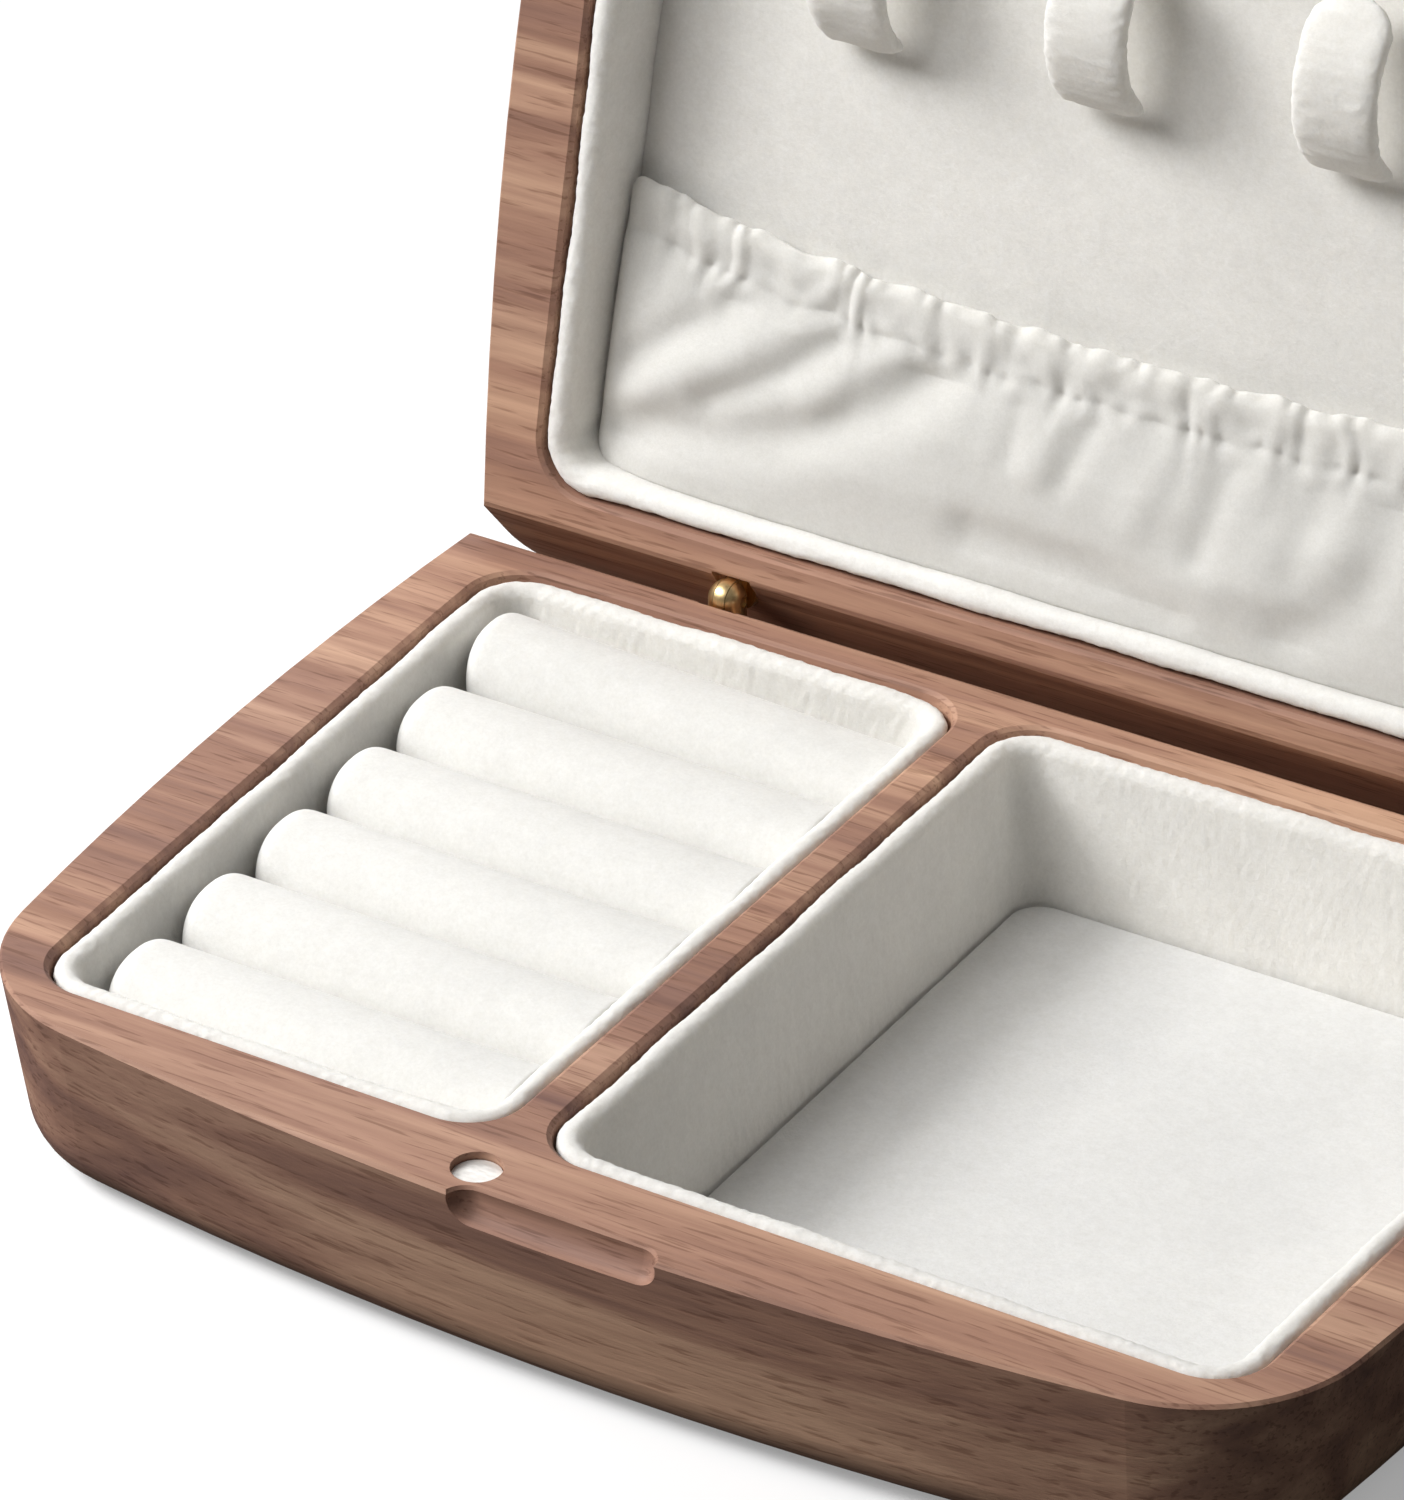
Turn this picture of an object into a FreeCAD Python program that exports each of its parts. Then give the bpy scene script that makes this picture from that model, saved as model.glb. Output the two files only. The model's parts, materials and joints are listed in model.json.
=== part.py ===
# Walnut jewellery box with a hinged lid, shown open as it stands in use.
# Frame: origin on the bottom face, +X to the right, +Y to the back, +Z up, millimetres.
import math
import os

import FreeCAD
import Part
import Sketcher
from FreeCAD import Placement, Rotation, Vector

SIZES = {
    # plan of the rim, the same on the base and the lid
    "width": 190.0,
    "rim_front": 65.1,
    "rim_back": 65.1,
    "side_radius": 620.0,
    "side_apex": 35.4,
    "front_radius": 497.0,
    "front_corner": 22.5,
    "back_corner": 6.0,
    "wall_taper": 8.0,
    "edge_break": 0.45,
    # heights of the two halves and their rounded outer edges
    "base_height": 26.0,
    "base_round": 7.5,
    "lid_height": 24.0,
    "lid_round": 7.5,
    "close_gap": 0.2,
    # bevel along the hinge side
    "bevel_run": 11.0,
    "bevel_angle": 45.0,
    # pockets in the base and the one in the lid
    "pocket_front": 52.3,
    "pocket_back": 60.8,
    "pocket_span": 162.7,
    "pocket_flare": 2.73,
    "pocket_taper": 8.0,
    "pocket_corner": 7.5,
    "pocket_depth": 23.0,
    "divider_x": 13.5,
    "divider_width": 4.9,
    "lid_pocket_depth": 18.5,
    # velvet linings
    "liner_gap": 0.2,
    "liner_drop": 0.5,
    "lid_liner_drop": 0.3,
    "liner_wall": 3.0,
    "liner_floor": 1.0,
    "liner_roll": 1.2,
    "pad_gap": 0.2,
    "floor_pad": 1.0,
    "panel_thickness": 8.0,
    # ring rolls
    "roll_radius": 8.2,
    "roll_pitch": 17.0,
    "bed_thick": 4.3,
    "roll_end_round": 3.2,
    "roll_end_gap": 0.2,
    "roll_seat_gap": 0.1,
    # magnets
    "magnet_y": 58.8,
    "magnet_radius": 3.0,
    "magnet_thick": 2.0,
    "magnet_recess": 1.0,
    "magnet_gap": 0.15,
    # finger groove in the front edge
    "groove_half": 14.0,
    "groove_radius": 3.0,
    "groove_out": 0.2,
    "groove_down": 1.2,
    # barrel hinges
    "hinge_x": 56.5,
    "hinge_setback": 2.7,
    "open_angle": 98.0,
    "barrel_radius": 2.5,
    "barrel_length": 12.0,
    "knuckle_gap": 0.6,
    "slot_width": 1.9,
    "tongue_width": 1.7,
    "pin_radius": 0.75,
    "pin_length": 4.4,
    "pin_seat": 0.01,
    "pin_running": 0.05,
    "bore_gap": 0.03,
    "relief_gap": 0.35,
    # necklace hooks, measured up the lid from the hinge axis and out from the panel
    "hook_pitch": 34.0,
    "hook_shift": 3.0,
    "hook_width": 11.2,
    "hook_thick": 2.6,
    "hook_radius": 13.3,
    "hook_rise": 86.7,
    "hook_sink": 4.33,
    "hook_from": -51.3,
    "hook_to": 67.5,
    "hook_tip_round": 4.0,
    # gathered pocket on the lid panel
    "cloth_thick": 1.0,
    "cloth_half": 78.4,
    "cloth_foot": 12.4,
    "cloth_top": 43.3,
    "cloth_rise": 5.0,
    "cloth_bulge": 8.2,
    "cloth_stand": 2.8,
    "cloth_end": 2.4,
    "fold_depth": 0.9,
    "elastic_width": 5.0,
    "elastic_thick": 0.8,
    "elastic_gap": 0.15,
}
ROLLS = 6
HOOKS = 4
FOLD_STATIONS = 25

doc = FreeCAD.newDocument("JewelleryBox")
sheet = doc.addObject("Spreadsheet::Sheet", "dims")
for row, (alias, size) in enumerate(SIZES.items(), 1):
    sheet.set(f"A{row}", alias)
    sheet.set(f"B{row}", str(size))
    sheet.setAlias(f"B{row}", alias)
doc.recompute()

nodes = []


ALONG_X = Rotation(Vector(0, 1, 0), 90)


def value(expression):
    return float(sheet.evalExpression(expression))


# Heights, edges and slopes that several pieces share.
RIM_Z = "dims.base_height"
HINGE_Y = "(dims.rim_back + dims.hinge_setback)"
BACK_Y = "(dims.rim_back + dims.bevel_run)"
WALL_SLOPE = "tan(dims.pocket_taper * 1 deg)"
FLARE_SLOPE = "tan(dims.pocket_flare * 1 deg)"
FLARE_COS = "cos(dims.pocket_flare * 1 deg)"
DIVIDER_LEFT = "(-dims.divider_x - dims.divider_width / 2)"
DIVIDER_RIGHT = "(-dims.divider_x + dims.divider_width / 2)"
PANEL_Z = "(dims.close_gap + dims.lid_pocket_depth - dims.panel_thickness)"


def bind(obj, **expressions):
    for name, expression in expressions.items():
        obj.setExpression(name.replace("__", "."), expression)


def bind_place(obj, x="0", y="0", z="0"):
    bind(obj, Placement__Base__x=x, Placement__Base__y=y, Placement__Base__z=z)


def hang_on_lid(obj, x="0"):
    # the lid's own frame lies on the hinge axis, with the closed lid above it
    obj.Placement = Placement(Vector(), Rotation(Vector(1, 0, 0), -value("dims.open_angle")))
    bind_place(obj, x, HINGE_Y, RIM_Z)


def new_body(name):
    body = doc.addObject("PartDesign::Body", name)
    body.Label = name
    nodes.append(body)
    return body


def new_sketch(body, name, role="XY_Plane", offset="0"):
    sketch = body.newObject("Sketcher::SketchObject", name)
    plane = next(item for item in body.Origin.OriginFeatures if item.Role == role)
    sketch.AttachmentSupport = (plane, [""])
    sketch.MapMode = "FlatFace"
    bind(sketch, AttachmentOffset__Base__z=offset)
    return sketch


def constrain(sketch, expression, kind, *geometry):
    index = sketch.addConstraint(Sketcher.Constraint(kind, *geometry, value(expression)))
    sketch.setExpression(f"Constraints[{index}]", expression)


def polygon(body, name, corners, role="XY_Plane", offset="0"):
    # a closed outline whose corners are pairs of expressions
    sketch = new_sketch(body, name, role, offset)
    points = [Vector(value(x), value(y), 0) for x, y in corners]
    count = len(points)
    for i in range(count):
        sketch.addGeometry(Part.LineSegment(points[i], points[(i + 1) % count]))
    for i, (x, y) in enumerate(corners):
        sketch.addConstraint(Sketcher.Constraint("Coincident", i, 2, (i + 1) % count, 1))
        constrain(sketch, x, "DistanceX", -1, 1, i, 1)
        constrain(sketch, y, "DistanceY", -1, 1, i, 1)
    return sketch


def unit(vector):
    return vector * (1 / vector.Length)


def inner_circle(first, first_radius, second, second_radius):
    # the frontmost point at the two given distances from two centres
    span = second - first
    along = (first_radius ** 2 - second_radius ** 2 + span.Length ** 2) / (2 * span.Length)
    across = math.sqrt(first_radius ** 2 - along ** 2)
    side = Vector(-unit(span).y, unit(span).x, 0)
    foot = first + unit(span) * along
    return min(foot + side * across, foot - side * across, key=lambda point: point.y)


def arc(centre, start, end):
    circle = Part.Circle(centre, Vector(0, 0, 1), (start - centre).Length)
    angles = [math.atan2((p - centre).y, (p - centre).x) for p in (start, end)]
    return Part.ArcOfCircle(circle, *angles)


def rim_outline(body, offset, shift):
    # bowed front and sides, rounded corners and a straight back, all tangent
    half = value("dims.width / 2")
    side, front = value("dims.side_radius"), value("dims.front_radius")
    corner, heel = value("dims.front_corner"), value("dims.back_corner")
    back = value(f"{BACK_Y} - {shift}")
    left_centre = Vector(side - half, value(f"dims.side_apex - {shift}"), 0)
    front_centre = Vector(0, value(f"dims.front_radius - dims.rim_front - {shift}"), 0)
    corner_centre = inner_circle(left_centre, side - corner, front_centre, front - corner)
    heel_y = back - heel
    heel_x = left_centre.x - math.sqrt((side - heel) ** 2 - (heel_y - left_centre.y) ** 2)
    heel_centre = Vector(heel_x, heel_y, 0)
    a = Vector(heel_x, back, 0)
    b = left_centre + unit(heel_centre - left_centre) * side
    c = left_centre + unit(corner_centre - left_centre) * side
    d = front_centre + unit(corner_centre - front_centre) * front

    def mirror(point):
        return Vector(-point.x, point.y, 0)

    sketch = new_sketch(body, "outline", offset=offset)
    sketch.addGeometry(Part.LineSegment(mirror(a), a))
    sketch.addGeometry(arc(heel_centre, a, b))
    sketch.addGeometry(arc(left_centre, b, c))
    sketch.addGeometry(arc(corner_centre, c, d))
    sketch.addGeometry(arc(front_centre, d, mirror(d)))
    sketch.addGeometry(arc(mirror(corner_centre), mirror(d), mirror(c)))
    sketch.addGeometry(arc(mirror(left_centre), mirror(c), mirror(b)))
    sketch.addGeometry(arc(mirror(heel_centre), mirror(b), mirror(a)))
    for i in range(8):
        sketch.addConstraint(Sketcher.Constraint("Tangent", i, 2, (i + 1) % 8, 1))
    sketch.addConstraint(Sketcher.Constraint("Horizontal", 0))
    sketch.addConstraint(Sketcher.Constraint("PointOnObject", 4, 3, -2))
    for radius, arcs in (("back_corner", (1, 7)), ("side_radius", (2, 6)), ("front_corner", (3, 5))):
        for index in arcs:
            constrain(sketch, f"dims.{radius}", "Radius", index)
    constrain(sketch, "dims.front_radius", "Radius", 4)
    constrain(sketch, f"{BACK_Y} - {shift}", "DistanceY", -1, 1, 0, 1)
    constrain(sketch, f"dims.front_radius - dims.rim_front - {shift}", "DistanceY", -1, 1, 4, 3)
    for index, sign in ((2, ""), (6, "-")):
        constrain(sketch, f"{sign}(dims.side_radius - dims.width / 2)", "DistanceX", -1, 1, index, 3)
        constrain(sketch, f"dims.side_apex - {shift}", "DistanceY", -1, 1, index, 3)
    return sketch


def taper_pad(body, sketch, length, taper, down=False):
    pad = body.newObject("PartDesign::Pad", "block")
    pad.Profile = sketch
    pad.Reversed = down
    bind(pad, Length=length, TaperAngle=f"-{taper}")
    doc.recompute()
    return pad


def must_cut(body, feature, before):
    doc.recompute()
    if body.Shape.Volume > before - 1e-6:
        raise RuntimeError(f"{feature.Label} in {body.Label} cuts nothing")


def taper_pocket(body, name, sketch, depth, taper, up=False):
    before = body.Shape.Volume
    pocket = body.newObject("PartDesign::Pocket", name)
    pocket.Profile = sketch
    pocket.Reversed = up
    bind(pocket, Length=depth, TaperAngle=f"-{taper}")
    must_cut(body, pocket, before)
    return pocket


def cut_cylinder(body, name, radius, height, x, y, z, turn=Rotation()):
    before = body.Shape.Volume
    hole = body.newObject("PartDesign::SubtractiveCylinder", name)
    hole.Placement = Placement(Vector(), turn)
    bind(hole, Radius=radius, Height=height)
    bind_place(hole, x, y, z)
    must_cut(body, hole, before)


def cut_ball(body, name, radius, x, y, z):
    before = body.Shape.Volume
    ball = body.newObject("PartDesign::SubtractiveSphere", name)
    bind(ball, Radius=radius)
    bind_place(ball, x, y, z)
    must_cut(body, ball, before)


def dress_edges(body, kind, name, picks, **size):
    # picks tells an edge of the body's present shape from the rest
    base = body.Tip
    names = [f"Edge{i}" for i, edge in enumerate(base.Shape.Edges, 1) if picks(edge)]
    dressing = body.newObject(f"PartDesign::{kind}", name)
    dressing.Base = (base, names)
    bind(dressing, **size)
    doc.recompute()


def round_edges(body, name, radius, picks):
    dress_edges(body, "Fillet", name, picks, Radius=radius)


def break_edges(body, name, size, picks):
    dress_edges(body, "Chamfer", name, picks, Size=size)


def level(edge):
    # an edge's height if it lies flat, or nothing
    box = edge.BoundBox
    return box.ZMin if box.ZLength < 1e-4 else None


def at_level(height):
    return lambda edge: level(edge) is not None and abs(level(edge) - height) < 1e-3


def straight(edge):
    ends = [vertex.Point for vertex in edge.Vertexes]
    return len(ends) == 2 and edge.Length - (ends[1] - ends[0]).Length < 1e-4


def upright_within(box):
    # the corner edges of a pocket or board: straight, climbing, and inside a plan box
    def picks(edge):
        bounds = edge.BoundBox
        inside_x = box[0] < bounds.XMin and bounds.XMax < box[1]
        inside_y = box[2] < bounds.YMin and bounds.YMax < box[3]
        return inside_x and inside_y and bounds.ZLength > 0.5 and straight(edge)
    return picks


def everywhere():
    reach = value("dims.width")
    return (-reach, reach, -reach, reach)


def pocket_corners(left, right, inset, shift):
    # four corners of a pocket, drawn in by inset; None stands for the flared outer side
    front = f"(-dims.pocket_front + {inset})"
    back = f"(dims.pocket_back - {inset})"

    def side_x(fixed, sign, y):
        if fixed is not None:
            return f"({fixed} - ({sign} * {inset}))"
        outer = f"(dims.pocket_span / 2 + ({y} + dims.pocket_front) * {FLARE_SLOPE})"
        return f"({sign} * ({outer} - {inset} / {FLARE_COS}))"

    corners = [(left, -1, front), (right, 1, front), (right, 1, back), (left, -1, back)]
    return [(side_x(fixed, sign, y), f"({y} - {shift})") for fixed, sign, y in corners]


LEFT_POCKET = (None, DIVIDER_LEFT)
RIGHT_POCKET = (DIVIDER_RIGHT, None)
WHOLE_POCKET = (None, None)


# the box is a little wider than the pocket's plan
PLAN_MARGIN = "-0.5"


def plan_box(sides, shift="0"):
    corners = [(value(x), value(y)) for x, y in pocket_corners(*sides, PLAN_MARGIN, shift)]
    xs, ys = zip(*corners)
    return (min(xs), max(xs), min(ys), max(ys))


def cut_bevel(body, rim, shift, fall):
    # fall is -1 where the wood lies below the rim and 1 where it lies above
    before = body.Shape.Volume
    edge = f"(dims.rim_back - {shift})"
    reach = "(2 * dims.bevel_run)"
    corners = [
        (edge, rim),
        (f"({edge} + {reach})", f"({rim} + ({fall}) * {reach} * tan(dims.bevel_angle * 1 deg))"),
        (f"({edge} + {reach})", f"({rim} - ({fall}) * dims.edge_break)"),
    ]
    sketch = polygon(body, "bevel_side", corners, "YZ_Plane")
    bevel = body.newObject("PartDesign::Pocket", "bevel")
    bevel.Profile = sketch
    bevel.Midplane = True
    bind(bevel, Length="dims.width")
    must_cut(body, bevel, before)


def cut_hinge_seats(body, rim, pivot_y, into):
    # a bore for each barrel, and a round relief that the knuckle turns in
    bore = "dims.barrel_radius + dims.bore_gap"
    relief = "dims.barrel_radius + dims.relief_gap"
    start = rim if into > 0 else f"({rim} - dims.barrel_length)"
    for side, x in (("left", "-dims.hinge_x"), ("right", "dims.hinge_x")):
        cut_cylinder(body, f"bore_{side}", bore, "dims.barrel_length", x, pivot_y, start)
        cut_cylinder(body, f"relief_{side}", relief, f"2 * ({relief})", f"{x} - ({relief})", pivot_y, rim,
                     ALONG_X)


def make_base():
    body = new_body("base_body")
    taper_pad(body, rim_outline(body, RIM_Z, "0"), "dims.base_height", "dims.wall_taper", down=True)
    round_edges(body, "foot_round", "dims.base_round", at_level(0))
    cut_bevel(body, RIM_Z, "0", -1)
    for name, sides in (("ring_side", LEFT_POCKET), ("tray_side", RIGHT_POCKET)):
        sketch = polygon(body, f"{name}_plan", pocket_corners(*sides, "0", "0"), offset=RIM_Z)
        taper_pocket(body, name, sketch, "dims.pocket_depth", "dims.pocket_taper")
        round_edges(body, f"{name}_corners", "dims.pocket_corner", upright_within(plan_box(sides)))
    cut_cylinder(body, "groove", "dims.groove_radius", "2 * (dims.groove_half - dims.groove_radius)",
                 "-(dims.groove_half - dims.groove_radius)", "-dims.rim_front - dims.groove_out",
                 f"{RIM_Z} - dims.groove_down", ALONG_X)
    for side, sign in (("left", "-"), ("right", "")):
        cut_ball(body, f"groove_{side}", "dims.groove_radius",
                 f"{sign}(dims.groove_half - dims.groove_radius)",
                 "-dims.rim_front - dims.groove_out", f"{RIM_Z} - dims.groove_down")
    break_edges(body, "rim_break", "dims.edge_break", at_level(value(RIM_Z)))
    cut_cylinder(body, "magnet_hole", "dims.magnet_radius + dims.magnet_gap",
                 "dims.magnet_thick + dims.magnet_recess", "-dims.divider_x", "-dims.magnet_y",
                 f"{RIM_Z} - dims.magnet_thick - dims.magnet_recess")
    cut_hinge_seats(body, RIM_Z, HINGE_Y, -1)


def make_lid():
    body = new_body("lid_body")
    rim = "dims.close_gap"
    taper_pad(body, rim_outline(body, rim, HINGE_Y), "dims.lid_height", "dims.wall_taper")
    round_edges(body, "top_round", "dims.lid_round", at_level(value(f"{rim} + dims.lid_height")))
    cut_bevel(body, rim, HINGE_Y, 1)
    sketch = polygon(body, "recess_plan", pocket_corners(*WHOLE_POCKET, "0", HINGE_Y), offset=rim)
    taper_pocket(body, "recess", sketch, "dims.lid_pocket_depth", "dims.pocket_taper", up=True)
    round_edges(body, "recess_corners", "dims.pocket_corner",
                upright_within(plan_box(WHOLE_POCKET, HINGE_Y)))
    break_edges(body, "rim_break", "dims.edge_break", at_level(value(rim)))
    cut_cylinder(body, "magnet_hole", "dims.magnet_radius + dims.magnet_gap",
                 "dims.magnet_thick + dims.magnet_recess", "-dims.divider_x",
                 f"-dims.magnet_y - {HINGE_Y}", rim)
    cut_hinge_seats(body, "0", "0", 1)
    hang_on_lid(body)


def make_liner(name, sides, top, drop, depth, floor, shift="0", up=False):
    # a velvet-covered tray: tapered walls, rolled top edge, and a floor unless floor is None
    body = new_body(name)
    start = f"(dims.liner_gap + {drop} * {WALL_SLOPE})"
    outer = polygon(body, "outer_plan", pocket_corners(*sides, start, shift), offset=top)
    taper_pad(body, outer, depth, "dims.pocket_taper", down=not up)
    round_edges(body, "outer_corners", "dims.pocket_corner - dims.liner_gap", upright_within(everywhere()))
    inset = f"({start} + dims.liner_wall)"
    inner = polygon(body, "inner_plan", pocket_corners(*sides, inset, shift), offset=top)
    hollow = depth if floor is None else f"({depth} - {floor})"
    taper_pocket(body, "hollow", inner, hollow, "dims.pocket_taper", up=up)
    inner_box = plan_box(sides, shift)
    round_edges(body, "inner_corners", "dims.pocket_corner - dims.liner_gap - dims.liner_wall",
                upright_within(inner_box))
    round_edges(body, "rolled_edge", "dims.liner_roll", at_level(value(top)))
    return body


def make_board(name, sides, start, thick, deepest, shift="0", up=False):
    # a flat covered board, sized to fit between a liner's walls where they are closest
    body = new_body(name)
    inset = f"(dims.liner_gap + dims.liner_wall + dims.pad_gap + ({deepest}) * {WALL_SLOPE})"
    plan = polygon(body, "plan", pocket_corners(*sides, inset, shift), offset=start)
    taper_pad(body, plan, thick, "0", down=not up)
    round_edges(body, "corners", "dims.pocket_corner - dims.liner_gap - dims.liner_wall",
                upright_within(everywhere()))
    return body


def make_base_linings():
    top = f"({RIM_Z} - dims.liner_drop)"
    depth = "(dims.pocket_depth - dims.liner_drop)"
    make_liner("ring_tray_liner", LEFT_POCKET, top, "dims.liner_drop", depth, "dims.liner_floor")
    make_liner("tray_liner", RIGHT_POCKET, top, "dims.liner_drop", depth, "dims.liner_floor")
    floor_z = f"({RIM_Z} - dims.pocket_depth + dims.liner_floor)"
    pad_top = f"({floor_z} + dims.floor_pad)"
    board_depth = "dims.pocket_depth - dims.liner_floor"
    make_board("tray_floor_pad", RIGHT_POCKET, pad_top, "dims.floor_pad", board_depth)
    make_board("ring_bed", LEFT_POCKET, f"({floor_z} + dims.bed_thick)", "dims.bed_thick", board_depth)


def make_rolls():
    # a row of stuffed rolls across the ring tray, with domed ends that follow its walls
    seat = "(dims.liner_floor + dims.bed_thick + dims.roll_seat_gap)"
    axis_drop = f"(dims.pocket_depth - {seat} - dims.roll_radius)"
    corner_drop = f"({axis_drop} + dims.roll_radius - dims.roll_end_round / 2)"
    wall_in = f"(dims.liner_gap + dims.liner_wall + {corner_drop} * {WALL_SLOPE})"
    right = f"({DIVIDER_LEFT} - {wall_in} - dims.roll_end_gap)"
    middle = "((dims.pocket_back - dims.pocket_front) / 2)"
    for index in range(ROLLS):
        y = f"({middle} + {index - (ROLLS - 1) / 2} * dims.roll_pitch)"
        outer = f"(dims.pocket_span / 2 + ({y} + dims.pocket_front) * {FLARE_SLOPE})"
        left = f"(-{outer} + {wall_in} / {FLARE_COS} + dims.roll_end_gap)"
        body = new_body(f"ring_roll_{index + 1}")
        roll = body.newObject("PartDesign::AdditiveCylinder", "roll")
        roll.Placement = Placement(Vector(), ALONG_X)
        bind(roll, Radius="dims.roll_radius", Height=f"{right} - {left}")
        bind_place(roll, left, y, f"{RIM_Z} - {axis_drop}")
        doc.recompute()
        round_edges(body, "domed_ends", "dims.roll_end_round",
                    lambda edge: isinstance(edge.Curve, Part.Circle))


def make_lid_linings():
    top = "(dims.close_gap + dims.lid_liner_drop)"
    depth = "(dims.lid_pocket_depth - dims.lid_liner_drop)"
    hang_on_lid(make_liner("lid_liner", WHOLE_POCKET, top, "dims.lid_liner_drop", depth, None, HINGE_Y,
                           up=True))
    hang_on_lid(make_board("lid_panel", WHOLE_POCKET, PANEL_Z, "dims.panel_thickness",
                           "dims.lid_pocket_depth", HINGE_Y, up=True))


def make_magnets():
    for name in ("base_magnet", "lid_magnet"):
        disc = doc.addObject("Part::Cylinder", name)
        disc.Label = name
        bind(disc, Radius="dims.magnet_radius", Height="dims.magnet_thick")
        nodes.append(disc)
    base_disc, lid_disc = nodes[-2:]
    bind_place(base_disc, "-dims.divider_x", "-dims.magnet_y",
               f"{RIM_Z} - dims.magnet_thick - dims.magnet_recess")
    # the lid's magnet lies at the bottom of its own recess, swung with the lid
    reach, rise = value(f"-dims.magnet_y - {HINGE_Y}"), value("dims.close_gap + dims.magnet_recess")
    turn = Rotation(Vector(1, 0, 0), -value("dims.open_angle"))
    lid_disc.Placement = Placement(turn.multVec(Vector(0, reach, rise)), turn)
    swing = "(dims.open_angle * 1 deg)"
    y, z = f"(-dims.magnet_y - {HINGE_Y})", "(dims.close_gap + dims.magnet_recess)"
    bind_place(lid_disc, "-dims.divider_x", f"{HINGE_Y} + {y} * cos({swing}) + {z} * sin({swing})",
               f"{RIM_Z} - {y} * sin({swing}) + {z} * cos({swing})")


def rod(name, radius, height, x="0", y="0", z="0", turn=Rotation()):
    cylinder = doc.addObject("Part::Cylinder", name)
    cylinder.Placement = Placement(Vector(), turn)
    bind(cylinder, Radius=radius, Height=height)
    bind_place(cylinder, x, y, z)
    return cylinder


def block(name, length, width, height, x, y, z):
    box = doc.addObject("Part::Box", name)
    bind(box, Length=length, Width=width, Height=height)
    bind_place(box, x, y, z)
    return box


def combine(kind, name, base, tool):
    result = doc.addObject(f"Part::{kind}", name)
    result.Base = base
    result.Tool = tool
    return result


KNUCKLE = "(dims.barrel_radius + dims.knuckle_gap)"


def make_barrel(name, forked):
    # a round shank along +Z whose end at the origin is a fork or a tongue on the pin
    size = "dims.barrel_radius"
    round_end = doc.addObject("Part::Sphere", f"{name}_end")
    bind(round_end, Radius=size)
    shank = rod(f"{name}_shank", size, "dims.barrel_length")
    blank = combine("Fuse", f"{name}_blank", round_end, shank)
    across = f"2 * {size}"
    tall = f"({size} + {KNUCKLE})"
    if forked:
        half = "dims.slot_width / 2"
        slot = block(f"{name}_slot", "dims.slot_width", across, tall, f"-{half}", f"-{size}", f"-{size}")
        cut = combine("Cut", f"{name}_fork", blank, slot)
        bore = "dims.pin_radius + dims.pin_seat"
    else:
        half = "dims.tongue_width / 2"
        cut = blank
        for side, x in (("left", f"-{size}"), ("right", half)):
            waste = block(f"{name}_{side}_waste", f"{size} - {half}", across, tall,
                          x, f"-{size}", f"-{size}")
            cut = combine("Cut", f"{name}_{side}_side", cut, waste)
        bore = "dims.pin_radius + dims.pin_running"
    drilled = combine("Cut", name, cut, rod(f"{name}_bore", bore, across, f"-{size}", turn=ALONG_X))
    drilled.Label = name
    nodes.append(drilled)
    return drilled


def make_hinges():
    for side, x in (("left", "-dims.hinge_x"), ("right", "dims.hinge_x")):
        fork = make_barrel(f"hinge_{side}_base_barrel", True)
        fork.Placement = Placement(Vector(), Rotation(Vector(1, 0, 0), 180))
        bind_place(fork, x, HINGE_Y, RIM_Z)
        hang_on_lid(make_barrel(f"hinge_{side}_lid_barrel", False), x)
        pin = rod(f"hinge_{side}_pin", "dims.pin_radius", "dims.pin_length", f"{x} - dims.pin_length / 2",
                  HINGE_Y, RIM_Z, ALONG_X)
        pin.Label = f"hinge_{side}_pin"
        nodes.append(pin)


def make_hooks():
    # a covered strap bent to part of a ring, rooted in the panel and open at its upper end
    turn = ALONG_X.multiply(Rotation(Vector(0, 0, 1), value("dims.hook_from")))
    for index in range(HOOKS):
        x = f"(dims.hook_shift + {index - (HOOKS - 1) / 2} * dims.hook_pitch - dims.hook_width / 2)"
        place = (x, "-dims.hook_rise", f"{PANEL_Z} + dims.hook_sink")
        body = new_body(f"necklace_hook_{index + 1}")
        ring = body.newObject("PartDesign::AdditiveCylinder", "ring")
        ring.Placement = Placement(Vector(), turn)
        bind(ring, Radius="dims.hook_radius + dims.hook_thick / 2", Height="dims.hook_width",
             Angle="dims.hook_to - dims.hook_from")
        bind_place(ring, *place)
        doc.recompute()
        cut_cylinder(body, "inside", "dims.hook_radius - dims.hook_thick / 2", "dims.hook_width",
                     *place, turn)
        tip = turn.multVec(Vector(value("dims.hook_radius"), 0, 0)) + Vector(*[value(p) for p in place])
        reach = value("dims.hook_thick")

        def at_tip(edge, tip=tip, reach=reach):
            middle = edge.BoundBox.Center
            flat = Vector(0, middle.y - tip.y, middle.z - tip.z).Length < reach / 2
            return flat and edge.BoundBox.XLength < 1e-4
        round_edges(body, "tip", "dims.hook_tip_round", at_tip)
        hang_on_lid(body)


# the pocket's line: share of its height, shares of belly and gathered top, and how far folds swing it
CLOTH_LINE = ((0.0, 0.4, 0.0, 0.0), (0.02, 0.85, 0.0, 0.0), (0.1, 0.98, 0.0, 0.0), (0.28, 1.0, 0.0, 1.0),
              (0.5, 0.84, 0.0, 1.0), (0.72, 0.3, 0.7, 0.5))
END_SHARPNESS = 8


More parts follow.
